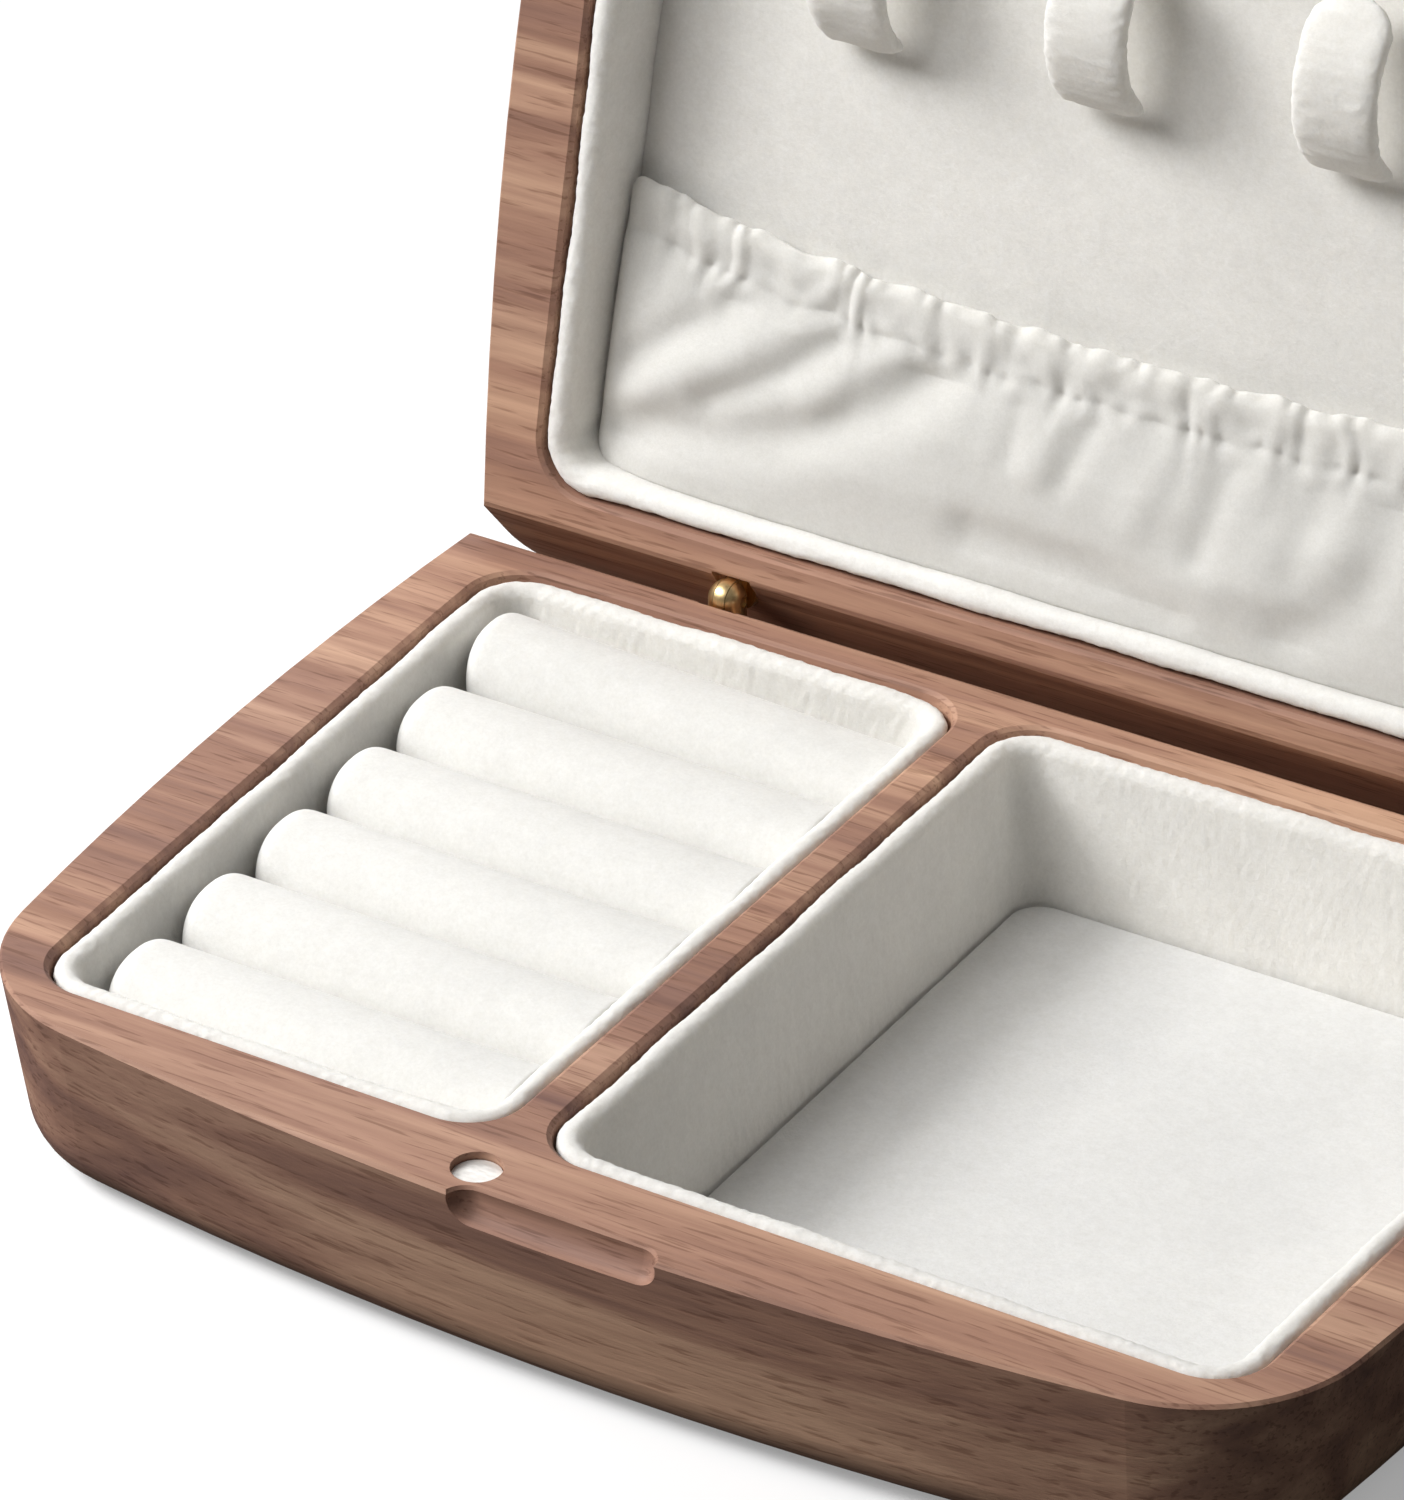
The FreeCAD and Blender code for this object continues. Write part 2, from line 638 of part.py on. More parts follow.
def cloth_section(x):
    # the pocket's outer line up the lid at one station: foot, belly, then the gathered top
    share = x / value("dims.cloth_half")
    top = value("dims.cloth_top + dims.cloth_rise") + value("dims.cloth_rise") * (share ** 2 - 1)
    foot, bulge, stand = (value(f"dims.{key}") for key in ("cloth_foot", "cloth_bulge", "cloth_stand"))
    fold = value("dims.fold_depth")
    slant = math.cos(share * math.pi * (FOLD_STATIONS - 1) / 4 + math.pi / 3)
    height = top - foot
    # both ends of the cloth draw in to the panel, and its foot follows the leaning wall below it
    full = math.sqrt(1 - share ** END_SHARPNESS)
    least = value("dims.cloth_end")
    lean = math.tan(math.radians(value("dims.pocket_taper")))
    line = [(foot, value("dims.pad_gap"))]
    for climb, belly, gathered, swing in CLOTH_LINE:
        drawn = least * min(1, belly + gathered)
        out = full * (belly * bulge + gathered * stand + swing * fold * slant) + (1 - full) * drawn
        line.append((foot - lean * out * (1 - climb) ** 2 + height * climb, out))
    hem = full * stand + (1 - full) * least
    return line + [(top - value("dims.elastic_width"), hem), (top, hem)]


def thickened(line, thick):
    # the same line moved towards the panel by the cloth's thickness, square to its run
    moved = []
    for i, (rise, out) in enumerate(line):
        before, after = line[max(i - 1, 0)], line[min(i + 1, len(line) - 1)]
        run, climb = after[0] - before[0], after[1] - before[1]
        scale = thick / math.hypot(run, climb)
        moved.append((rise + climb * scale, out - run * scale))
    return moved


def strip_loft(sections):
    # sections: for each station its x and a closed ring of (rise up the lid, distance off the panel)
    panel = value(PANEL_Z)
    wires = []
    for x, ring in sections:
        points = [Vector(x, -rise, panel - out) for rise, out in ring]
        wires.append(Part.makePolygon(points + points[:1]))
    return Part.makeLoft(wires, True, True)


def make_cloth():
    half, thick = value("dims.cloth_half"), value("dims.cloth_thick")
    behind = value("dims.cloth_thick + dims.elastic_gap")
    band, strip = value("dims.elastic_thick"), value("dims.elastic_width")
    stations = [half * (2 * i / (FOLD_STATIONS - 1) - 1) for i in range(FOLD_STATIONS)]
    cloth, elastic = [], []
    for x in stations:
        line = cloth_section(x)
        cloth.append((x, line + thickened(line, thick)[::-1]))
        top, out = line[-1][0], line[-1][1] - behind
        elastic.append((x, [(top - strip, out), (top, out), (top, out - band), (top - strip, out - band)]))
    for name, sections in (("lid_pocket", cloth), ("pocket_elastic", elastic)):
        piece = doc.addObject("Part::Feature", name)
        piece.Label = name
        piece.Shape = strip_loft(sections)
        hang_on_lid(piece)
        nodes.append(piece)


make_base()
make_base_linings()
make_rolls()
make_lid()
make_lid_linings()
make_magnets()
make_hinges()
make_hooks()
make_cloth()
doc.recompute()

faults = [item.Name for item in doc.Objects if {"Invalid", "Error"} & set(item.State)]
for node in nodes:
    shape = node.Shape
    if shape.isNull() or not shape.isValid() or len(shape.Solids) != 1:
        faults.append(node.Label)
if faults:
    raise RuntimeError("not sound: " + ", ".join(faults))

os.makedirs("parts", exist_ok=True)
for node in nodes:
    node.Shape.exportStep(os.path.join("parts", f"{node.Label}.step"))
    print(node.Label, "volume", round(node.Shape.Volume, 1))
print(len(nodes), "pieces written")
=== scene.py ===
import json
import math

import bmesh
import bpy
import numpy as np
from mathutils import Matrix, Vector


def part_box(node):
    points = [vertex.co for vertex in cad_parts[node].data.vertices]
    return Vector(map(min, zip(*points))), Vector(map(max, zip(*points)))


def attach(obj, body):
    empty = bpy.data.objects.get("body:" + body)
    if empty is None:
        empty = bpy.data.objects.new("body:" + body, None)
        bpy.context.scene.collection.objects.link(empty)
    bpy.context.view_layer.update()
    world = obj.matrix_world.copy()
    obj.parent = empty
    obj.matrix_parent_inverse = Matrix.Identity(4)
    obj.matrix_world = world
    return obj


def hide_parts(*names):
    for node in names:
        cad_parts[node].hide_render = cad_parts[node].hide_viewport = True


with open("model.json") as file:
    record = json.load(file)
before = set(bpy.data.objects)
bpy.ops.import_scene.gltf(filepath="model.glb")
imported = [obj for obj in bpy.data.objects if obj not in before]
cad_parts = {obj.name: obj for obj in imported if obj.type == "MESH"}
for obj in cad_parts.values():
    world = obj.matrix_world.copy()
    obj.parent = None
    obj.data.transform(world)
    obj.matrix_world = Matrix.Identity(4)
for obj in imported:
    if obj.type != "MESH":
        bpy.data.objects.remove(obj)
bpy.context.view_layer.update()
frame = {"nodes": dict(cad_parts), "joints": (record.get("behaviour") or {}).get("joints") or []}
nodes = frame["nodes"]
hinge = frame["joints"][0]
mm = 0.001
hingeY, rimZ = hinge["pos_m"][1] / mm, hinge["pos_m"][2] / mm
lidTurn = math.radians(hinge["range_deg"][1])
print("frame loaded:", len(nodes), "nodes")

# Pockets in the wood, in millimetres and degrees; depths are measured from the rim
pocket = dict(front=-52.3, back=60.8, halfSpan=81.35, flareAngle=2.73, wallAngle=8.0, corner=7.5,
              leastCorner=4.2, dividerLeft=-15.95, dividerRight=-11.05, trayDepth=23.0, lidDepth=18.5,
              lidGap=0.2)
flare = math.tan(math.radians(pocket["flareAngle"]))
wallSlope = math.tan(math.radians(pocket["wallAngle"]))


def onBase(x, y, depth):
    return np.stack(np.broadcast_arrays(x, y, rimZ - depth), -1) * mm


def onLid(x, y, depth):
    # a point of the shut lid, depth above its rim, swung open about the hinge axis
    back, up = y - hingeY, depth + pocket["lidGap"]
    swungY = hingeY + back * math.cos(lidTurn) + up * math.sin(lidTurn)
    swungZ = rimZ - back * math.sin(lidTurn) + up * math.cos(lidTurn)
    return np.stack(np.broadcast_arrays(x, swungY, swungZ), -1) * mm


def flaredSide(y):
    # half the pockets' span at the rim, which widens to the back
    return pocket["halfSpan"] + (y - pocket["front"]) * flare


def trapezoid(leftFixed, rightFixed):
    # corners of a pocket at the rim, front left first and anticlockwise; None is the flared side
    left = lambda y: -flaredSide(y) if leftFixed is None else leftFixed
    right = lambda y: flaredSide(y) if rightFixed is None else rightFixed
    f, b = pocket["front"], pocket["back"]
    return np.array([(left(f), f), (right(f), f), (right(b), b), (left(b), b)])


ringPocket = trapezoid(None, pocket["dividerLeft"])
trayPocket = trapezoid(pocket["dividerRight"], None)
lidPocket = trapezoid(None, None)


def roundedRing(corners, inset, radius, perSide=270, perCorner=26):
    # the outline drawn in by inset, its corners turned into arcs, with the same count of points each time
    along = np.roll(corners, -1, 0) - corners
    along /= np.linalg.norm(along, axis=1, keepdims=True)
    inward = np.stack([-along[:, 1], along[:, 0]], 1)
    start = corners + inward * inset
    before, beforeStart = np.roll(along, 1, 0), np.roll(start, 1, 0)
    cross = before[:, 0] * along[:, 1] - before[:, 1] * along[:, 0]
    gap = start - beforeStart
    reach = (gap[:, 0] * along[:, 1] - gap[:, 1] * along[:, 0]) / cross
    tips = beforeStart + before * reach[:, None]
    turn = np.arccos(np.clip((before * along).sum(1), -1, 1))
    tangent = radius * np.tan(turn / 2)
    points = []
    for i in range(4):
        centre = tips[i] + along[i] * tangent[i] + inward[i] * radius
        first = math.atan2(-inward[i - 1][1], -inward[i - 1][0])
        angles = first + np.linspace(0, turn[i], perCorner, endpoint=False)
        points.append(centre + radius * np.stack([np.cos(angles), np.sin(angles)], 1))
        j = (i + 1) % 4
        a, b = tips[i] + along[i] * tangent[i], tips[j] - along[i] * tangent[j]
        share = np.linspace(0, 1, perSide, endpoint=False)[:, None]
        points.append(a + (b - a) * share)
    return np.concatenate(points)


def fuzz(points, size, seed, waves=40):
    # soft irregular height, mostly between -2 and 2, from plane waves of about the given size
    draw = np.random.default_rng(seed)
    directions = draw.normal(size=(waves, 3))
    directions /= np.linalg.norm(directions, axis=1, keepdims=True)
    lengths = size * mm * draw.uniform(0.7, 1.6, waves)
    phases = draw.uniform(0, 2 * math.pi, waves)
    total = np.zeros(points.shape[:-1])
    for direction, length, phase in zip(directions, lengths, phases):
        total += np.sin(points @ direction * (2 * math.pi / length) + phase)
    return total / math.sqrt(waves)


def smoothNoise(x, size, seed, waves=7, share=2.6):
    # a wandering line: a few sine waves of uneven length
    draw = np.random.default_rng(seed)
    total = np.zeros_like(x)
    for _ in range(waves):
        phase, length = draw.uniform(0, 6.28), size * draw.uniform(0.6, 1.9)
        total += draw.uniform(0.5, 1) * np.sin(x * 2 * math.pi / length + phase)
    return total / share


def superWave(wave, power):
    # a sine or cosine pushed towards a square
    return np.sign(wave) * np.abs(wave) ** power


def gridFaces(rows, cols, wrapRows=False, wrapCols=False):
    r = np.arange(rows if wrapRows else rows - 1)[:, None]
    c = np.arange(cols if wrapCols else cols - 1)[None, :]
    r2, c2 = (r + 1) % rows, (c + 1) % cols
    quads = [r * cols + c, r * cols + c2, r2 * cols + c2, r2 * cols + c]
    return np.stack(np.broadcast_arrays(*quads), -1).reshape(-1, 4)


def makePiece(name, points, quads, caps=()):
    # vertices and quads from arrays, caps as lists of corners, then outward normals
    mesh = bpy.data.meshes.new(name)
    mesh.from_pydata(points.reshape(-1, 3).tolist(), [], quads.tolist() + list(caps))
    shell = bmesh.new()
    shell.from_mesh(mesh)
    bmesh.ops.remove_doubles(shell, verts=shell.verts, dist=1e-7)
    bmesh.ops.recalc_face_normals(shell, faces=shell.faces)
    shell.to_mesh(mesh)
    shell.free()
    mesh.polygons.foreach_set("use_smooth", np.ones(len(mesh.polygons), bool))
    piece = bpy.data.objects.new(name, mesh)
    bpy.context.scene.collection.objects.link(piece)
    return piece


def makeTube(name, points):
    # rings of points joined one to the next, with a cap on the first and the last
    rows, cols = points.shape[:2]
    ring = np.arange(cols)
    caps = [ring.tolist(), (ring + (rows - 1) * cols).tolist()]
    return makePiece(name, points, gridFaces(rows, cols, False, True), caps)


def readVectors(mesh, kind):
    flat = np.zeros(len(mesh.vertices) * 3)
    mesh.vertices.foreach_get(kind, flat)
    return flat.reshape(-1, 3)


def placeVertices(mesh, places):
    mesh.vertices.foreach_set("co", places.ravel())
    mesh.update()


def ruffleSurface(piece, size, height, seed):
    # moves every vertex along its normal by soft noise, so that edges look like pile
    mesh = piece.data
    places, normals = readVectors(mesh, "co"), readVectors(mesh, "normal")
    placeVertices(mesh, places + normals * (fuzz(places, size, seed) * height * mm)[:, None])


# Materials
def newMaterial(name):
    material = bpy.data.materials.new(name)
    material.use_nodes = True
    tree = material.node_tree
    shader = tree.nodes["Principled BSDF"]
    return material, tree, shader


def addNode(tree, kind, **settings):
    node = tree.nodes.new(kind)
    for key, setting in settings.items():
        if key in node.inputs:
            node.inputs[key].default_value = setting
        else:
            setattr(node, key, setting)
    return node


def noiseAt(tree, stretch, scale=1.0, detail=4.0, rough=0.55, bend=0.0):
    # noise on the object's own coordinates, stretched by the three numbers
    place = addNode(tree, "ShaderNodeTexCoord")
    mapping = addNode(tree, "ShaderNodeMapping", Scale=stretch)
    noise = addNode(tree, "ShaderNodeTexNoise", Scale=scale, Detail=detail, Roughness=rough, Distortion=bend)
    tree.links.new(place.outputs["Object"], mapping.inputs["Vector"])
    tree.links.new(mapping.outputs["Vector"], noise.inputs["Vector"])
    return noise.outputs["Fac"]


def ramp(tree, factor, stops):
    # each stop is a position and a colour, or one number for a grey
    node = tree.nodes.new("ShaderNodeValToRGB")
    while len(node.color_ramp.elements) < len(stops):
        node.color_ramp.elements.new(0.5)
    for element, (position, colour) in zip(node.color_ramp.elements, stops):
        element.position = position
        element.color = (*(colour if isinstance(colour, tuple) else (colour,) * 3), 1)
    tree.links.new(factor, node.inputs["Fac"])
    return node.outputs["Color"]


def mixColour(tree, blend, factor, first, second):
    node = tree.nodes.new("ShaderNodeMix")
    node.data_type = "RGBA"
    node.blend_type = blend
    if isinstance(factor, float):
        node.inputs["Factor"].default_value = factor
    else:
        tree.links.new(factor, node.inputs["Factor"])
    for socket, colour in ((node.inputs["A"], first), (node.inputs["B"], second)):
        if isinstance(colour, tuple):
            socket.default_value = (*colour, 1)
        else:
            tree.links.new(colour, socket)
    return node.outputs["Result"]


def addBump(tree, shader, height, strength, distance):
    bump = addNode(tree, "ShaderNodeBump", Strength=strength, Distance=distance)
    tree.links.new(height, bump.inputs["Height"])
    tree.links.new(bump.outputs["Normal"], shader.inputs["Normal"])


def setInputs(shader, **settings):
    for key, setting in settings.items():
        shader.inputs[key].default_value = setting


walnutLook = dict(dark=(0.215, 0.120, 0.098), mid=(0.385, 0.221, 0.157), light=(0.610, 0.394, 0.275),
                  zoneDark=(0.86, 0.83, 0.85), zoneLight=(1.06, 1.03, 1.0),
                  streakDark=(0.80, 0.77, 0.75), streakLight=(1.04, 1.03, 1.02), streakShare=0.85,
                  pore=(0.60, 0.54, 0.51), poreShare=0.75, poreBump=0.25, poreDepth=0.0002,
                  roughDark=0.72, roughLight=0.58, specular=0.3)


def walnutMaterial():
    # grain runs along X: broad bands, zones, fine streaks, and short dark pores
    look = walnutLook
    material, tree, shader = newMaterial("walnut")
    bands = noiseAt(tree, (5, 105, 105), detail=6.0, rough=0.58, bend=0.7)
    colour = ramp(tree, bands, [(0.30, look["dark"]), (0.47, look["mid"]), (0.67, look["light"])])
    zones = noiseAt(tree, (4, 16, 16), detail=2.0, rough=0.5, bend=0.4)
    zoneTone = ramp(tree, zones, [(0.36, look["zoneDark"]), (0.62, look["zoneLight"])])
    colour = mixColour(tree, "MULTIPLY", 1.0, colour, zoneTone)
    streaks = noiseAt(tree, (14, 420, 420), detail=5.0, rough=0.65, bend=0.3)
    streakTone = ramp(tree, streaks, [(0.3, look["streakDark"]), (0.65, look["streakLight"])])
    colour = mixColour(tree, "MULTIPLY", look["streakShare"], colour, streakTone)
    pores = noiseAt(tree, (110, 1700, 1700), detail=2.0, rough=0.5)
    poreTone = ramp(tree, pores, [(0.34, look["pore"]), (0.43, 1.0)])
    colour = mixColour(tree, "MULTIPLY", look["poreShare"], colour, poreTone)
    tree.links.new(colour, shader.inputs["Base Color"])
    gloss = ramp(tree, streaks, [(0.3, look["roughDark"]), (0.7, look["roughLight"])])
    tree.links.new(gloss, shader.inputs["Roughness"])
    setInputs(shader, **{"Specular IOR Level": look["specular"]})
    addBump(tree, shader, pores, look["poreBump"], look["poreDepth"])
    return material


# the velvet's part tones are lit and shaded copies of one cloth: the lid's copy is lighter, as painted light,
# and the tray's copy is darker, as painted shade for its deep pockets
velvetLook = dict(tray=(0.805, 0.788, 0.750), floor=(0.810, 0.799, 0.773), roll=(0.795, 0.785, 0.757),
                  lid=(0.855, 0.838, 0.800), cloth=(0.775, 0.752, 0.700), elastic=(0.78, 0.77, 0.73),
                  shadeShare=0.945, cloudScale=140.0, pileShade=(0.93, 0.928, 0.922),
                  tuftShade=(0.955, 0.952, 0.945), toneShare=0.9, tuftRatio=3.2, tuftDepth=0.0004,
                  rough=0.95, specular=0.1, sheen=0.2, sheenRough=0.5,
                  soft=0.5, softDepth=0.0035, softTint=(1.0, 0.96, 0.88))
# scale of the pile and strength of its bump
weaves = dict(velvet=(2100.0, 0.35), suede=(3200.0, 0.15), elastic=(1500.0, 0.5))


def velvetMaterial(name, kind, weave):
    # short pile: cloudy tone, fine speckle, a soft sheen and light that spreads inside the cloth
    look, even = velvetLook, (1, 1, 1)
    pale, (pileScale, bumpStrength) = look[kind], weaves[weave]
    material, tree, shader = newMaterial(name)
    clouds = noiseAt(tree, even, look["cloudScale"], 6.0, 0.7)
    shade = tuple(c * look["shadeShare"] for c in pale)
    colour = ramp(tree, clouds, [(0.32, shade), (0.66, pale)])
    pile = noiseAt(tree, even, pileScale, 3.0, 0.7)
    pileTone = ramp(tree, pile, [(0.3, look["pileShade"]), (0.65, 1.0)])
    colour = mixColour(tree, "MULTIPLY", look["toneShare"], colour, pileTone)
    tufts = noiseAt(tree, even, pileScale / look["tuftRatio"], 5.0, 0.75)
    tuftTone = ramp(tree, tufts, [(0.34, look["tuftShade"]), (0.6, 1.0)])
    colour = mixColour(tree, "MULTIPLY", look["toneShare"], colour, tuftTone)
    tree.links.new(colour, shader.inputs["Base Color"])
    setInputs(shader, **{
        "Roughness": look["rough"], "Specular IOR Level": look["specular"], "Sheen Weight": look["sheen"],
        "Sheen Roughness": look["sheenRough"], "Subsurface Weight": look["soft"],
        "Subsurface Radius": look["softTint"], "Subsurface Scale": look["softDepth"]})
    addBump(tree, shader, tufts, bumpStrength, look["tuftDepth"])
    return material


metalLook = dict(brass=(0.80, 0.58, 0.29), brassRough=0.34, brassLines=(2500, 300, 300),
                 nickel=(0.80, 0.78, 0.745), nickelRough=0.4, nickelLines=(900, 2600, 900), nickelMetal=0.45,
                 lineTone=0.86, lineDull=1.3, lineBright=0.8)


def metalMaterial(name, kind, metallic=1.0):
    # turned or ground metal: fine lines in the tone and in the gloss
    look = metalLook
    colour, rough = look[kind], look[f"{kind}Rough"]
    material, tree, shader = newMaterial(name)
    lines = noiseAt(tree, look[f"{kind}Lines"], rough=0.6)
    tone = ramp(tree, lines, [(0.3, tuple(c * look["lineTone"] for c in colour)), (0.7, colour)])
    tree.links.new(tone, shader.inputs["Base Color"])
    gloss = ramp(tree, lines, [(0.3, rough * look["lineDull"]), (0.7, rough * look["lineBright"])])
    tree.links.new(gloss, shader.inputs["Roughness"])
    setInputs(shader, Metallic=metallic)
    return material


walnut = walnutMaterial()
# lidVelvet is the lighter copy with painted light, trayVelvet the darker copy with painted shade
velvets = {part: velvetMaterial(f"{part}Velvet", part, "velvet") for part in ("tray", "floor", "roll", "lid")}
pocketCloth = velvetMaterial("pocketSuede", "cloth", "suede")
elasticBand = velvetMaterial("elasticBand", "elastic", "elastic")
brass = metalMaterial("turnedBrass", "brass")
nickel = metalMaterial("nickelPlate", "nickel", metalLook["nickelMetal"])
print("materials made")


def dress(piece, material):
    piece.data.materials.clear()
    piece.data.materials.append(material)


def settle(piece, material, body, slot, *replaced):
    dress(piece, material)
    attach(piece, body)
    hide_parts(*replaced)


for name, node in nodes.items():
    if name in ("base_body", "lid_body"):
        dress(node, walnut)
    elif "barrel" in name or name.endswith("pin"):
        dress(node, brass)
    elif "magnet" in name:
        dress(node, nickel)

# Velvet linings: a wall section with a rolled top, carried round the pocket's outline
lining = dict(gap=0.4, baseDrop=0.4, lidDrop=0.3, roll=1.5, footRound=1.4, flange=2.0, skin=0.05,
              outerSteps=14, rollSteps=22, innerSteps=26, footSteps=9,
              pileSize=1.3, pileHeight=0.045, swaySize=14.0, swayHeight=0.10)
innerFace = lining["gap"] + 2 * lining["roll"]


def liningProfile(depth, top):
    # inset and depth of a closed wall section: outer side, rolled top, inner side, foot and flange
    r, f, gap = lining["roll"], lining["footRound"], lining["gap"]
    outer = np.linspace(depth - lining["skin"], top + r, lining["outerSteps"])[:-1]
    over = np.linspace(math.pi, 0, lining["rollSteps"])
    inner = np.linspace(top + r, depth - f, lining["innerSteps"])[1:]
    foot = np.linspace(math.pi, 1.5 * math.pi, lining["footSteps"])[1:]
    inset = [np.full_like(outer, gap), gap + r + r * np.cos(over), np.full_like(inner, innerFace),
             innerFace + f + f * np.cos(foot), [innerFace + f + lining["flange"]] * 2]
    down = [outer, top + r - r * np.sin(over), inner, depth - f - f * np.sin(foot),
            [depth, depth + lining["skin"]]]
    return np.concatenate(inset), np.concatenate(down)


def makeLining(name, corners, depth, place, body, cloth, seed, node):
    inset, down = liningProfile(depth, lining[f"{body}Drop"])
    rings = []
    for i, d in zip(inset, down):
        radius = max(pocket["corner"] - i, pocket["leastCorner"])
        outline = roundedRing(corners, i + d * wallSlope, radius)
        rings.append(place(outline[:, 0], outline[:, 1], d))
    points = np.array(rings)
    piece = makePiece(name, points, gridFaces(*points.shape[:2], True, True))
    ruffleSurface(piece, lining["pileSize"], lining["pileHeight"], seed)
    ruffleSurface(piece, lining["swaySize"], lining["swayHeight"], seed + 1)
    settle(piece, velvets[cloth], body, "velvet", node)


makeLining("ringTrayLining", ringPocket, pocket["trayDepth"], onBase, "base", "tray", 11, "ring_tray_liner")
makeLining("trayLining", trayPocket, pocket["trayDepth"], onBase, "base", "tray", 13, "tray_liner")
makeLining("lidLining", lidPocket, pocket["lidDepth"], onLid, "lid", "lid", 17, "lid_liner")
print("linings made")

# Covered boards: thicknesses, and the gap to the lining, which below zero tucks the edge into it
board = dict(pad=1.0, bed=4.3, panel=8.0, linerFloor=1.0, gap=0.25, panelGap=-1.9, edge=0.8, edgeSteps=7,
             undercut=0.6, rings=46, waveSize=26.0, calmRings=8, easeRings=6,
             padWave=0.10, bedWave=0.05, panelWave=0.10)
trayFloor = pocket["trayDepth"] - board["linerFloor"]
panelDepth = pocket["lidDepth"] - board["panel"]


def makeBoard(name, corners, surface, thick, place, body, cloth, seed, node, wave, gap=board["gap"]):
    # rounded edge, then rings shrinking to the middle with a slight wave
    edge = board["edge"]
    margin = innerFace + gap + (surface + thick) * wallSlope
    turn = np.linspace(0, math.pi / 2, board["edgeSteps"])
    insets = np.concatenate([[board["undercut"], 0.0], edge - edge * np.cos(turn)])
    downs = np.concatenate([[thick, thick], edge - edge * np.sin(turn)]) + surface
    rings = []
    for i, d in zip(insets, downs):
        outline = roundedRing(corners, margin + i, pocket["leastCorner"])
        rings.append(np.column_stack([outline, np.full(len(outline), d)]))
    last = rings[-1]
    middle = last.mean(0)
    for share in np.linspace(1, 0, board["rings"])[1:-1]:
        rings.append(middle + (last - middle) * share)
    grid = np.array(rings)
    flat = grid * (mm, mm, 0)
    calm = np.clip((np.arange(len(grid)) - board["calmRings"]) / board["easeRings"], 0, 1)[:, None]
    grid[..., 2] += fuzz(flat, board["waveSize"], seed) * wave * calm
    piece = makeTube(name, place(grid[..., 0], grid[..., 1], grid[..., 2]))
    settle(piece, velvets[cloth], body, "velvet", node)


makeBoard("trayFloorPad", trayPocket, trayFloor - board["pad"], board["pad"], onBase, "base", "floor", 19,
          "tray_floor_pad", board["padWave"])
makeBoard("ringBed", ringPocket, trayFloor - board["bed"], board["bed"], onBase, "base", "tray", 23,
          "ring_bed", board["bedWave"])
makeBoard("lidPanel", lidPocket, panelDepth, board["panel"], onLid, "lid", "lid", 29,
          "lid_panel", board["panelWave"], board["panelGap"])
print("boards made")

# Ring rolls: stuffed tubes with domed ends, swollen by a short cloth simulation
rolls = dict(count=6, around=64, along=96, crowd=1.5, square=2.35, leftEnd=3.6, rightEnd=1.4, dome=2.3,
             least=0.02, plump=1.04, leftGap=0.3, rightGap=-1.1, lastRise=2.2, lastDip=0.9, lastBack=0.6)
stuffing = dict(startShare=(0.985, 0.93, 0.93), frames=14, quality=5, mass=0.2, pressure=3.0, stretch=12,
                bend=0.6, most=1.2)


def rollShell(low, high, leftRise, rightRise):
    # a superellipse section whose size follows a dome at both ends, its top raised at each end
    centre, half = (low + high) / 2, (high - low) / 2
    t = np.linspace(-1, 1, rolls["along"])
    x = np.sign(t) * (1 - (1 - np.abs(t)) ** rolls["crowd"])
    end = np.where(x < 0, rolls["leftEnd"], rolls["rightEnd"]) * mm
    past = np.clip((np.abs(x) * half[0] - half[0] + end) / end, 0, 1)
    size = np.maximum((1 - past ** rolls["dome"]) ** (1 / rolls["dome"]), rolls["least"])
    angle = np.linspace(0, 2 * math.pi, rolls["around"], endpoint=False)
    y = superWave(np.cos(angle), 2 / rolls["square"])
    z = superWave(np.sin(angle), 2 / rolls["square"])
    grid = np.stack([np.broadcast_to(x[:, None] * half[0], (len(x), len(y))),
                     size[:, None] * y * half[1] * rolls["plump"], size[:, None] * z * half[2]], -1)
    # each end leans with the lining's wall beside it, so that the gap is the same at top and bottom
    depth = rimZ * mm - (grid[..., 2] + centre[2])
    inset = innerFace * mm + depth * wallSlope
    leftEnd = -(flaredSide((grid[..., 1] + centre[1]) / mm) - rolls["leftGap"]) * mm + inset
    rightEnd = (pocket["dividerLeft"] - rolls["rightGap"]) * mm - inset
    share = (grid[..., 0] / half[0] + 1) / 2
    rise = (leftRise + (rightRise - leftRise) * share) * mm
    grid[..., 2] += rise * (grid[..., 2] / half[2] + 1) / 2
    grid = grid + centre
    grid[..., 0] = leftEnd + (rightEnd - leftEnd) * share
    return grid


def swell(piece):
    # cloth under inner pressure, its travel capped, applied to the mesh
    before = readVectors(piece.data, "co")
    cloth = piece.modifiers.new("Cloth", "CLOTH")
    settings = cloth.settings
    settings.quality = stuffing["quality"]
    settings.mass = stuffing["mass"]
    settings.use_pressure = True
    settings.uniform_pressure_force = stuffing["pressure"]
    settings.tension_stiffness = settings.compression_stiffness = stuffing["stretch"]
    settings.bending_stiffness = stuffing["bend"]
    settings.effector_weights.gravity = 0
    cloth.point_cache.frame_start, cloth.point_cache.frame_end = 1, stuffing["frames"]
    scene = bpy.context.scene
    for step in range(1, stuffing["frames"] + 1):
        scene.frame_set(step)
    shape = piece.evaluated_get(bpy.context.evaluated_depsgraph_get())
    move = readVectors(shape.data, "co") - before
    piece.modifiers.clear()
    scene.frame_set(1)
    length = np.linalg.norm(move, axis=1, keepdims=True)
    move *= np.minimum(1, stuffing["most"] * mm / np.maximum(length, 1e-9))
    placeVertices(piece.data, before + move)


